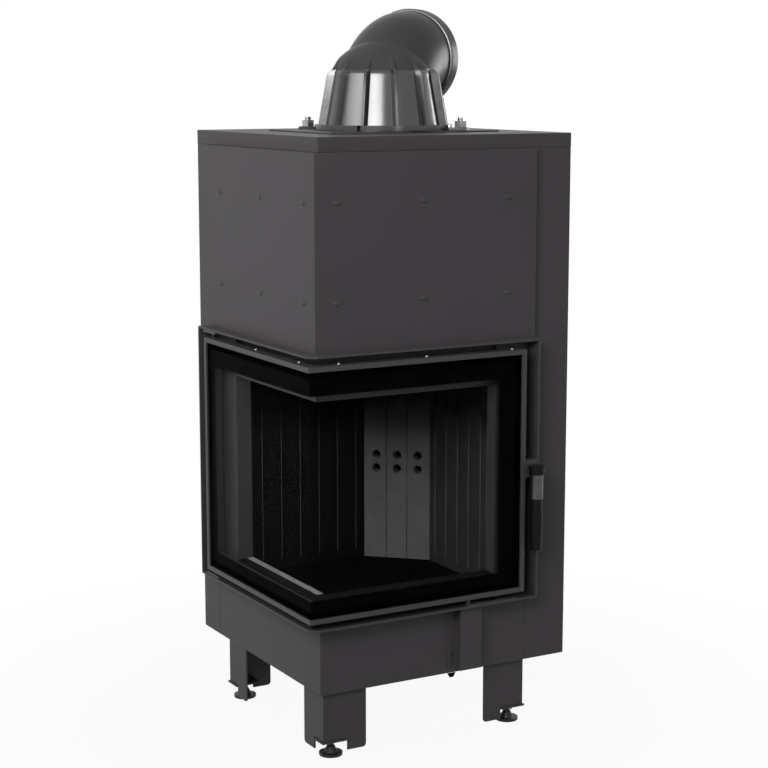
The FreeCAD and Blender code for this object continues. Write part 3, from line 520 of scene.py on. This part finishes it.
class INSERT_OT_casing(bpy.types.Operator):
    """Folded panels of the body, its cover, upper jacket and air box"""
    bl_idname = "insert.casing"
    bl_label = "Casing"

    folded = ("base_jacket", "right_casing", "rear_casing", "top_cover", "upper_jacket", "flue_plate", "air_box")
    hidden = ("base_plate", "hood_wall", "air_intake", "flue_neck")
    # Places in millimetres from the body's corner
    box_face, box_screw_columns, box_screw_rows = -2, (302, 367), (124, 44)
    jacket_face, cap_rows = -15, (783.75, 975.25)
    front_caps, side_caps = (33, 227.5, 422), (33, 224.5, 416)
    tab_face, tab_outline = 0.5, ((294, 0), (315, 0), (309, -10), (300, -10))
    # Half section of a rivet's cap, and how much longer than wide it is
    cap_profile = ((0.02, -0.3), (5.5, -0.3), (5.3, 0.8), (4.4, 1.7), (2.6, 2.3), (0.02, 2.5))
    cap_stretch = 0.8

    def execute(self, context):
        for node in self.folded:
            rounded(node, looks("casing").fold, casing_paint())
        rounded("jacket_standoffs", 0.0005, casing_paint())
        for node in self.hidden:
            dress(node, inner_paint())
        bm = bmesh.new()
        for x in self.box_screw_columns:
            for z in self.box_screw_rows:
                screw(bm, at(x, self.box_face, z), TO_FRONT, radius=4.2, height=2.2)
        keep_piece("air_box_screws", bm, satin_steel(), "body")
        bm = bmesh.new()
        for z in self.cap_rows:
            for x in self.front_caps:
                self.cap(bm, at(x, self.jacket_face, z), TO_FRONT)
            for y in self.side_caps:
                self.cap(bm, at(self.jacket_face, y, z), TO_LEFT)
        keep_piece("jacket_rivet_caps", bm, casing_paint(), "body", smooth=60)
        bm = bmesh.new()
        tab = bm.faces.new([bm.verts.new(at(x, self.tab_face, z)) for x, z in self.tab_outline])
        bmesh.ops.solidify(bm, geom=[tab], thickness=0.003)
        soften(keep_piece("air_box_tab", bm, casing_paint(), "body"), 0.0006)
        return {"FINISHED"}

    def cap(self, bm, foot, axis):
        """Low oblong cap over a rivet of the jacket."""
        along = UP.cross(axis)
        before = set(bm.verts)
        lathe(bm, foot, axis, self.cap_profile, steps=28)
        for v in set(bm.verts) - before:
            v.co += along * ((v.co - foot).dot(along) * self.cap_stretch)


class INSERT_OT_surround(bpy.types.Operator):
    """Lips, posts, lintels and sills round the door"""
    bl_idname = "insert.surround"
    bl_label = "Surround"

    sheets = ("surround_top_lip", "surround_bottom_lip", "surround_right_lip", "surround_rear_lip", "right_post",
              "rear_post", "front_lintel", "left_lintel")
    # Bright strip on the left sill: plan and foot in millimetres from the body's corner
    guide_plan, guide_foot = ((6, 24), (20, 24), (20, 346), (6, 346)), 202

    def execute(self, context):
        fold = looks("casing").fold * 0.8
        for node in self.sheets:
            rounded(node, fold, casing_paint())
        for node in ("front_sill", "left_sill"):
            rounded(node, fold, inner_paint())
        bm = bmesh.new()
        guide = bm.faces.new([bm.verts.new(at(x, y, self.guide_foot)) for x, y in self.guide_plan])
        thicken(bm, [guide], UP * 0.001)
        soften(keep_piece("left_sill_guide", bm, bright_sheet(), "body"), 0.0003)
        return {"FINISHED"}


class INSERT_OT_chamber(bpy.types.Operator):
    """Lining, hearth, baffle and steel walls of the fire chamber"""
    bl_idname = "insert.chamber"
    bl_label = "Fire chamber"

    edge = 0.0004
    # Slanted corner panel in millimetres: its middle and run in plan, half width, foot, foot of the grooves and top
    middle, run, half = (344.5, 297.5, 0), (107, -101, 0), 73.5
    foot, groove_foot, top = 140, 160, 600
    # Depth of the grooves, thickness behind them, and the boards between them
    groove_depth, back, boards = 3, 27, ((-73.5, -24), (-22, 22), (24, 73.5))
    hole_columns, hole_rows, hole_radius = (-46, 0, 46), (370, 400), 0.009

    def execute(self, context):
        # Painted light and shade: the rear panel's clay is nearly black, the right panel's ten times lighter, by the
        # light that falls on each
        rear = rounded("rear_lining", self.edge, lining_clay("rear", share=0.35))
        self.paint_flank_highlights(rear, 0, lining_clay("rear_flank", share=8.0))
        right = rounded("right_lining", self.edge, lining_clay("right", share=3.6, roughness=0.5, specular=0.1))
        self.paint_flank_highlights(right, 1, lining_clay("right_flank", share=14.0))
        self.corner_panel()
        for node in ("hearth_slab", "smoke_baffle"):
            rounded(node, 0.0008, lining_clay("hearth", share=0.15, roughness=0.85, specular=0.03))
        for node in ("chamber_floor", "chamber_rear_wall", "chamber_right_wall", "chamber_roof"):
            dress(node, inner_paint())
        return {"FINISHED"}

    def paint_flank_highlights(self, piece, axis, material):
        """Painted highlight: much lighter clay on the grooves' flanks, standing in for the light they catch."""
        piece.data.materials.append(material)
        for face in piece.data.polygons:
            if abs(face.normal[axis]) > 0.9:
                face.material_index = 1

    def corner_panel(self):
        """Slanted panel of three boards, each with two air holes, on a common foot."""
        bm = bmesh.new()
        self.board(bm, -self.half, self.half, self.foot, self.top, self.groove_depth, self.back)
        self.board(bm, -self.half, self.half, self.foot, self.groove_foot, 0, self.groove_depth)
        for left, right in self.boards:
            self.board(bm, left, right, self.groove_foot, self.top, 0, self.groove_depth)
        # Painted sheen: the corner panel's clay is forty times lighter than the rear panel's, standing in for the
        # lamp's sheen on it
        clay = lining_clay("corner", share=14.0)
        piece = keep_piece("corner_lining_boards", bm, clay, "body")
        soften(piece, 0.0009)
        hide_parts("corner_lining")

    def board(self, bm, left, right, low, high, depth, thickness):
        """Board of the slanted panel, cut round those air holes that it covers."""
        along = Vector(self.run).normalized()
        outward = Vector((-along.y, along.x, 0))
        middle = at(*self.middle) + outward * (depth / 1000)

        def spot(u, z):
            return middle + along * (u / 1000) + UP * (z / 1000)

        rim = [bm.verts.new(spot(u, z)) for u, z in ((left, low), (right, low), (right, high), (left, high))]
        edges = [bm.edges.new(pair) for pair in zip(rim, rim[1:] + rim[:1])]
        turn = outward.to_track_quat("Z", "Y").to_matrix().to_4x4()
        for u in self.hole_columns:
            for z in self.hole_rows:
                if left < u < right and low < z < high:
                    mouth = Matrix.Translation(spot(u, z)) @ turn
                    edges += ring_edges(bmesh.ops.create_circle(bm, segments=40, radius=self.hole_radius,
                                                                matrix=mouth)["verts"])
        filled = bmesh.ops.triangle_fill(bm, use_beauty=True, edges=edges, normal=outward)["geom"]
        thicken(bm, [f for f in filled if isinstance(f, bmesh.types.BMFace)], outward * (thickness / 1000))


class INSERT_OT_door(bpy.types.Operator):
    """Door frame with its hinges, seal and tape"""
    bl_idname = "insert.door"
    bl_label = "Door"

    # Screws on top of the door and on the lower hinge plate, in millimetres from the body's corner
    top_screws, door_top = ((-28, 220), (-29, 26), (28, -29), (224, -29), (425, -29)), 669
    plate_screws, plate_top = ((-26, 405), (-26, 453)), 154

    def execute(self, context):
        rounded("door_frame", 0.0007, door_paint())
        for node in ("hinge_blocks", "hinge_plates", "handle_bracket", "latch_keeper"):
            rounded(node, 0.0008, door_paint())
        rounded("hinge_pins", 0.0006, blackened_steel())
        dress("glass_tape", border_ink())
        dress("door_seal", rope_fibre())
        bm = self.heads(self.top_screws, self.door_top)
        keep_piece("door_top_screws", bm, zinc(), "door")
        bm = self.heads(self.plate_screws, self.plate_top)
        keep_piece("hinge_plate_screws", bm, blackened_steel(), "body")
        return {"FINISHED"}

    def heads(self, places, level):
        """Row of upright screw heads."""
        bm = bmesh.new()
        for x, y in places:
            screw(bm, at(x, y, level), UP, radius=3.6, height=2.0)
        return bm


class INSERT_OT_panes(bpy.types.Operator):
    """Both panes and the black border printed on their backs"""
    bl_idname = "insert.panes"
    bl_label = "Panes"

    # Metres between pane and print, and from the corner to the front pane's print
    gap, corner_gap = 0.0004, 0.004

    def execute(self, context):
        glass = looks("glass")
        low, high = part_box("front_glass")
        side_low, side_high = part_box("side_glass")
        bm = bmesh.new()
        plan = ((low.x, low.y), (high.x, low.y), (high.x, high.y), (side_high.x, high.y), (side_high.x, side_high.y),
                (low.x, side_high.y))
        foot = bm.faces.new([bm.verts.new((x, y, low.z)) for x, y in plan])
        thicken(bm, [foot], UP * (high.z - low.z))
        panes = keep_piece("corner_panes", bm, clear_glass(), "door")
        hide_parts("front_glass", "side_glass")
        fade = glass.print_fade
        rows = [low.z, at(0, 0, glass.print_bottom + fade / 3).z, at(0, 0, glass.print_top - fade / 3).z, high.z]
        columns = [low.x + self.corner_gap, at(glass.print_right - fade, 0, 0).x, high.x]
        self.border("front_print", columns, rows, lambda u, v, w: Vector((u, high.y + w, v)))
        columns = [side_low.y, at(0, glass.print_rear - fade, 0).y, side_high.y]
        self.border("side_print", columns, rows, lambda u, v, w: Vector((side_high.x + w, u, v)))
        return {"FINISHED"}

    def border(self, name, columns, rows, place):
        """Printed frame, open at the corner where the panes meet."""
        bm = bmesh.new()
        bmesh.ops.create_grid(bm, x_segments=2, y_segments=3, size=1)
        xs = sorted({round(v.co.x, 4) for v in bm.verts})
        ys = sorted({round(v.co.y, 4) for v in bm.verts})
        for v in bm.verts:
            v.co = place(columns[xs.index(round(v.co.x, 4))], rows[ys.index(round(v.co.y, 4))], self.gap)
        middle = place((columns[0] + columns[1]) / 2, (rows[1] + rows[2]) / 2, 0)
        window = min(bm.faces, key=lambda f: (f.calc_center_median() - middle).length)
        bmesh.ops.delete(bm, geom=[window], context="FACES_ONLY")
        thicken(bm, bm.faces[:], place(0, 0, looks("glass").print_depth) - place(0, 0, 0))
        keep_piece(name, bm, border_ink(), "door")


class INSERT_OT_handle(bpy.types.Operator):
    """Hanging handle and its latch"""
    bl_idname = "insert.handle"
    bl_label = "Handle"

    def execute(self, context):
        rounded("latch_finger", 0.0005, zinc())
        rounded("handle_hub", 0.0012, grip_lacquer(), segments=3)
        rounded("handle_ferrule", 0.0008, satin_steel(), segments=3)
        rounded("handle_grip", 0.0012, grip_lacquer(), segments=3)
        return {"FINISHED"}


class INSERT_OT_air(bpy.types.Operator):
    """Air control on the bottom lip"""
    bl_idname = "insert.air"
    bl_label = "Air control"

    def execute(self, context):
        rounded("air_slide", 0.0004, casing_paint())
        rounded("air_slide_pins", 0.0004, blackened_steel())
        return {"FINISHED"}


class INSERT_OT_flue(bpy.types.Operator):
    """Clamp ring, finned base, elbow and collar of the flue"""
    bl_idname = "insert.flue"
    bl_label = "Flue"

    # Middle of the flue and heights, in millimetres from the body's corner
    middle, base_foot, bend_foot, stud_foot = (299, 276), 1103, 1138, 1122
    # Way the outlet points, and the slant of the joint between base and elbow
    outlet = Vector((math.sin(math.radians(56)), math.cos(math.radians(56)), 0))
    tilt = math.radians(43.5)
    slant = outlet * math.sin(tilt) + UP * math.cos(tilt)
    uphill = UP * math.sin(tilt) - outlet * math.cos(tilt)
    # Radii of the bend's middle line, of the pipe and its bore and of the cone's rim, and the rim's height, in metres
    bend, pipe, bore, rim_radius, rim_height = 0.112, 0.100, 0.094, 0.1022, 0.122
    stud_circle, stud_turns = 0.1655, (135, 315)
    base_profile = ((120, 0), (136, 0), (136, 6), (124.9, 6), (105.6, 113), (104.85, 116.5), (103.8, 119.5),
                    (102.2, 122.2), (98, 122.2))
    # Fins: number, turn of the first in degrees, height and reach of their rows, and the four corners' depth and width
    fin_count, fin_start = 12, 12.5
    fin_rows = ((12.2, 14), (60, 14), (111, 14), (118, 12), (124, 7.5), (130, 4.5), (138, 2.4), (146, 1), (152, 0.2))
    fin_root, fin_foot_half, fin_crest_half = -4, 8, 2.6
    # The cone where the fins stand: radius in metres at a height, its taper for each millimetre, and its top
    cone_radius, cone_foot, cone_taper, cone_top = 0.1249, 6, 0.00018, 120
    # Shoulder: wall and swell in metres, turn of the fullest place, and the mesh's steps
    wall, swell, swell_turn, steps, sections = 0.012, 0.0085, 0.7, 60, 16
    # Straight end of the elbow, and the bright metal rim of the collar that paints in its highlight: its width and
    # inner radius, in metres
    straight, worn_width, worn_radius = 0.002, 0.0024, 0.1012

    def execute(self, context):
        rounded("clamp_ring", 0.003, flue_coating(), segments=4)
        rounded("flue_studs", 0.0006, zinc())
        start = at(*self.middle, self.bend_foot)
        joint = start + (self.outlet * (1 - math.cos(self.tilt)) + UP * math.sin(self.tilt)) * self.bend
        self.base(at(*self.middle, self.base_foot), joint)
        self.elbow(start)
        self.collar(start + (self.outlet + UP) * self.bend + self.outlet * self.straight)
        bm = bmesh.new()
        for turn in self.stud_turns:
            way = Vector((math.cos(math.radians(turn)), math.sin(math.radians(turn)), 0))
            stud = at(*self.middle, self.stud_foot) + way * self.stud_circle
            thread(bm, stud, UP, radius=6.0, length=6.6, pitch=1.6)
        keep_piece("flue_stud_threads", bm, zinc(), "body", smooth=60)
        return {"FINISHED"}

    def base(self, foot, joint):
        """Cone with its flange and fins, and the rounded shoulder up to the slanted joint."""
        bm = bmesh.new()
        lathe(bm, foot, UP, self.base_profile, steps=144)
        self.trim(bm, joint)
        self.shoulder(bm, foot + UP * self.rim_height, joint)
        self.fins(BVHTree.FromBMesh(bm), foot, joint)
        piece = keep_piece("flue_base_cast", bm, flue_coating(), "flue_turntable", smooth=40)
        piece.data.materials.append(elbow_coating())
        soften(piece, 0.001, angle=40)
        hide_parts("flue_base")

    def trim(self, bm, joint):
        """Cut off all that stands above the slanted joint."""
        cut = bmesh.ops.bisect_plane(bm, geom=bm.verts[:] + bm.edges[:] + bm.faces[:], dist=1e-6,
                                     plane_co=joint - self.slant * 0.0002, plane_no=self.slant, clear_outer=True)
        bmesh.ops.holes_fill(bm, edges=[e for e in cut["geom_cut"] if isinstance(e, bmesh.types.BMEdge)])

    def fins(self, skin, foot, joint):
        """Ribs that stand on the cone and run out on the shoulder."""
        bm = bmesh.new()
        for number in range(self.fin_count):
            turn = math.radians(self.fin_start + 360 / self.fin_count * number)
            way = Vector((math.cos(turn), math.sin(turn), 0))
            aside = UP.cross(way)
            rows = []
            for z, height in self.fin_rows:
                level = foot + UP * (z / 1000)
                spot = level + way * (self.cone_radius - self.cone_taper * (z - self.cone_foot))
                if z > self.cone_top:
                    spot = skin.ray_cast(level + way * 0.3, -way, 0.26)[0]
                if not spot:
                    break
                section = ((self.fin_root, -self.fin_foot_half), (height, -self.fin_crest_half),
                           (height, self.fin_crest_half), (self.fin_root, self.fin_foot_half))
                rows.append([bm.verts.new(spot + way * (reach / 1000) + aside * (half / 1000))
                             for reach, half in section])
            for low, high in zip(rows, rows[1:]):
                for k in range(len(low)):
                    face = bm.faces.new((low[k - 1], low[k], high[k], high[k - 1]))
                    face.material_index = int(low[k].co.z > foot.z + self.cone_top / 1000)
            bm.faces.new(rows[0])
            bm.faces.new(rows[-1])
        self.trim(bm, joint)
        piece = keep_piece("flue_base_fins", bm, flue_coating(), "flue_turntable", smooth=40)
        piece.data.materials.append(elbow_coating())
        soften(piece, 0.0018, segments=3, angle=40)

    def shoulder(self, bm, rim, joint):
        """Gore from the cone's rim to the joint, with a swell that fades out on one side."""
        across = UP.cross(self.outlet)
        run = (joint - rim).dot(self.outlet) - (rim.z - joint.z) / math.tan(self.tilt)
        offset = (rim.z - joint.z) / math.sin(self.tilt)
        low_reach, high_reach = math.acos(-run / self.rim_radius), math.acos(offset / self.pipe)
        rows = [[] for k in range(self.sections + 1)]
        for inset, order in ((0, 1), (self.wall, -1)):
            for step in range(self.steps + 1)[::order]:
                turn = 2 * step / self.steps - 1
                low_angle, high_angle = turn * low_reach, turn * high_reach
                rim_way = self.outlet * -math.cos(low_angle) + across * math.sin(low_angle)
                outward = self.uphill * math.cos(high_angle) + across * math.sin(high_angle)
                low = rim + rim_way * (self.rim_radius - inset)
                high = joint + outward * (self.pipe - inset)
                bulge = self.swell * (0.5 + 0.5 * math.sin(high_angle + self.swell_turn))
                for k, row in enumerate(rows):
                    share = k / self.sections
                    spot = low.lerp(high, share) + outward * (bulge * 4 * share * (1 - share))
                    row.append(bm.verts.new(spot))
        for low, high in zip(rows, rows[1:]):
            for k in range(len(low)):
                bm.faces.new((low[k - 1], low[k], high[k], high[k - 1])).material_index = 1
        for loop in (rows[0], rows[-1]):
            for k in range(self.steps):
                bm.faces.new((loop[k], loop[k + 1], loop[-k - 2], loop[-k - 1])).material_index = 1

    def elbow(self, foot):
        """Bend that leaves the slanted joint square and ends level."""
        centre = foot + self.outlet * self.bend
        hinge = self.outlet.cross(UP)
        bm = bmesh.new()
        start = []
        for radius in (self.pipe, self.bore):
            ring = bmesh.ops.create_circle(bm, segments=112, radius=radius, matrix=Matrix.Translation(foot))["verts"]
            bmesh.ops.rotate(bm, verts=ring, cent=centre, matrix=Matrix.Rotation(self.tilt, 3, -hinge))
            start += ring_edges(ring)
        corners = list(dict.fromkeys(v for e in start for v in e.verts))
        swept = bmesh.ops.spin(bm, geom=start + corners, cent=centre, axis=-hinge, angle=math.pi / 2 - self.tilt,
                               steps=40)["geom_last"]
        last = [e for e in swept if isinstance(e, bmesh.types.BMEdge)]
        grown = bmesh.ops.extrude_edge_only(bm, edges=last)["geom"]
        bmesh.ops.translate(bm, verts=[v for v in grown if isinstance(v, bmesh.types.BMVert)],
                            vec=self.outlet * self.straight)
        ends = [e for e in bm.edges if e.is_boundary]
        first = [e for e in ends if abs((e.verts[0].co - centre).dot(self.outlet)) > 0.003]
        bmesh.ops.triangle_fill(bm, use_beauty=True, edges=first, normal=self.slant)
        bmesh.ops.triangle_fill(bm, use_beauty=True, edges=[e for e in ends if e not in first], normal=self.outlet)
        piece = keep_piece("flue_elbow_cast", bm, elbow_coating(), "flue_outlet_elbow", smooth=50)
        soften(piece, 0.001, angle=50)
        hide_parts("flue_elbow")

    def collar(self, mouth):
        """Socket for the pipe, with a rounded near edge in bright metal: partly a real reflection of the room, partly
        a painted highlight.
        """
        bm = bmesh.new()
        nose = [(101 + 4 * math.sin(math.radians(a)), 4 - 4 * math.cos(math.radians(a))) for a in range(15, 91, 15)]
        lathe(bm, mouth, self.outlet,
              [(94, 0), (101, 0)] + nose + [(105, 32), (100.3, 32), (100.3, 4), (94, 4)], steps=144)
        for face in bm.faces:
            reach = face.calc_center_median() - mouth
            if reach.dot(self.outlet) < self.worn_width and reach.length > self.worn_radius:
                face.material_index = 1
        piece = keep_piece("flue_collar_cast", bm, elbow_coating(), "flue_outlet_elbow", smooth=40)
        piece.data.materials.append(worn_edge())
        soften(piece, 0.0008, angle=40)
        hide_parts("flue_collar")


class INSERT_OT_legs(bpy.types.Operator):
    """Folded legs with their foot plates and levelling feet"""
    bl_idname = "insert.legs"
    bl_label = "Legs"

    # Height in metres at which a foot's thread starts
    thread_foot = 0.0195

    def execute(self, context):
        rounded("legs", 0.0012, casing_paint())
        rounded("foot_plates", 0.0006, casing_paint())
        for node in ("foot_front_left", "foot_front_right", "foot_rear_left", "foot_rear_right"):
            rounded(node, 0.0006, blackened_steel())
            low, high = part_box(node)
            foot = Vector(((low.x + high.x) / 2, (low.y + high.y) / 2, low.z + self.thread_foot))
            bm = bmesh.new()
            thread(bm, foot, UP, radius=5.95, length=37, pitch=1.75)
            keep_piece(node + "_thread", bm, blackened_steel(), body_of[node], smooth=60)
        return {"FINISHED"}


class INSERT_OT_studio(bpy.types.Operator):
    """Pale floor, lamps and camera"""
    bl_idname = "insert.studio"
    bl_label = "Studio"

    # Place, size and aim of each lamp in metres, and the width of its beam in degrees
    lamps = {
        "front": ((-2.55, -2.33, 2.4), (2.0, 1.35), (0.0, -0.1, 1.15), 80),
        "side": ((-2.07, 0.15, 1.95), (1.5, 0.81), (-0.3, 0.4, 1.25), 80),
        "strip": ((-0.3, -3.45, 1.85), (0.35, 2.1), (0, 0, 0.75), 180),
        "right": ((2.95, 0.55, 1.5), (1.0, 1.0), (0, 0, 0.75), 180),
    }
    # Camera solved from the photo's straight edges: place in metres, dip and turn in degrees
    lens, sensor, reach = 86.27, 36, 50
    eye, dip, turn = (-1.8789, -3.3468, 1.3507), 9.4995, -29.456
    # Floor: half width, distances between which its shadow fades out, and the white that covers it near the part
    floor_half, shadow_near, shadow_far, near_white = 12, 0.4, 1.3, 0.94

    def execute(self, context):
        scene = context.scene
        scene.view_settings.view_transform = "Standard"
        self.floor(scene)
        self.world(scene)
        for name, setup in self.lamps.items():
            self.lamp(scene, name + "_lamp", getattr(looks("studio"), name), *setup)
        camera = bpy.data.cameras.new("photo_camera")
        camera.lens = self.lens
        camera.sensor_width = self.sensor
        camera.clip_end = self.reach
        holder = bpy.data.objects.new("photo_camera", camera)
        scene.collection.objects.link(holder)
        holder.location = self.eye
        holder.rotation_euler = (math.radians(90 - self.dip), 0, math.radians(self.turn))
        scene.camera = holder
        return {"FINISHED"}

    def seen(self, tree):
        """Mask of the camera, glossy and transmission rays, which meet plain white."""
        path = add(tree, "ShaderNodeLightPath", -400, 300)
        mask = math_node(tree, -200, 300, "MAXIMUM", path.outputs["Is Camera Ray"], path.outputs["Is Glossy Ray"])
        return math_node(tree, -50, 300, "MAXIMUM", mask, path.outputs["Is Transmission Ray"])

    def floor(self, scene):
        """White floor that keeps a faint shadow near the part."""
        bm = bmesh.new()
        bmesh.ops.create_grid(bm, x_segments=1, y_segments=1, size=self.floor_half)
        mesh = bpy.data.meshes.new("floor")
        bm.to_mesh(mesh)
        bm.free()
        material = bpy.data.materials.new("pale_floor")
        tree, output = blank(material, "ShaderNodeOutputMaterial")
        matt = add(tree, "ShaderNodeBsdfDiffuse", 0, 0, inputs={"Color": (0.3, 0.3, 0.3, 1)})
        white = add(tree, "ShaderNodeEmission", 0, -200, inputs={"Color": (1, 1, 1, 1), "Strength": 1.0})
        distance = add(tree, "ShaderNodeVectorMath", -700, -300, operation="LENGTH")
        tree.links.new(add(tree, "ShaderNodeTexCoord", -900, -300).outputs["Object"], distance.inputs[0])
        white_out = spread(tree, -500, -300, distance.outputs["Value"], self.shadow_near, self.shadow_far,
                           self.near_white, 1.0)
        share = math_node(tree, 120, 300, "MULTIPLY", self.seen(tree), white_out)
        mix_to(output, tree, share, matt.outputs["BSDF"], white.outputs["Emission"])
        mesh.materials.append(material)
        floor = bpy.data.objects.new("floor", mesh)
        scene.collection.objects.link(floor)

    def world(self, scene):
        """Room with even light and a white background."""
        scene.world = bpy.data.worlds.new("white_room")
        tree, output = blank(scene.world, "ShaderNodeOutputWorld")
        even = add(tree, "ShaderNodeBackground", 0, 0, inputs={"Color": (1, 1, 1, 1),
                                                               "Strength": looks("studio").room})
        white = add(tree, "ShaderNodeBackground", 0, -200, inputs={"Color": (1, 1, 1, 1), "Strength": 1.0})
        mix_to(output, tree, self.seen(tree), even.outputs["Background"], white.outputs["Background"])

    def lamp(self, scene, name, power, place, size, aim, beam):
        """Flat lamp that points at its aim."""
        light = bpy.data.lights.new(name, "AREA")
        light.shape = "RECTANGLE"
        light.size, light.size_y = size
        light.energy = power
        light.spread = math.radians(beam)
        holder = bpy.data.objects.new(name, light)
        scene.collection.objects.link(holder)
        holder.location = place
        holder.rotation_euler = (Vector(aim) - Vector(place)).to_track_quat("-Z", "Y").to_euler()


PIECES = (INSERT_OT_casing, INSERT_OT_surround, INSERT_OT_chamber, INSERT_OT_door, INSERT_OT_panes, INSERT_OT_handle,
          INSERT_OT_air, INSERT_OT_flue, INSERT_OT_legs, INSERT_OT_studio)
SETTINGS = (("casing", CasingLook), ("glass", GlassLook), ("fire", FireLook), ("studio", StudioLook))


class INSERT_PT_panel(bpy.types.Panel):
    """Buttons and settings in the sidebar"""
    bl_label = "Fireplace insert"
    bl_idname = "INSERT_PT_panel"
    bl_space_type = "VIEW_3D"
    bl_region_type = "UI"
    bl_category = "Insert"

    def draw(self, context):
        for name, group in SETTINGS:
            for key in group.__annotations__:
                self.layout.prop(getattr(context.scene, "insert_" + name), key)
        for operator in PIECES:
            self.layout.operator(operator.bl_idname)


def register():
    for name, group in SETTINGS:
        bpy.utils.register_class(group)
        setattr(bpy.types.Scene, "insert_" + name, PointerProperty(type=group))
    for operator in PIECES:
        bpy.utils.register_class(operator)
    bpy.utils.register_class(INSERT_PT_panel)


def unregister():
    bpy.utils.unregister_class(INSERT_PT_panel)
    for operator in reversed(PIECES):
        bpy.utils.unregister_class(operator)
    for name, group in reversed(SETTINGS):
        delattr(bpy.types.Scene, "insert_" + name)
        bpy.utils.unregister_class(group)


def main():
    register()
    for operator in PIECES:
        group, name = operator.bl_idname.split(".")
        getattr(getattr(bpy.ops, group), name)()


if __name__ == "__main__":
    main()
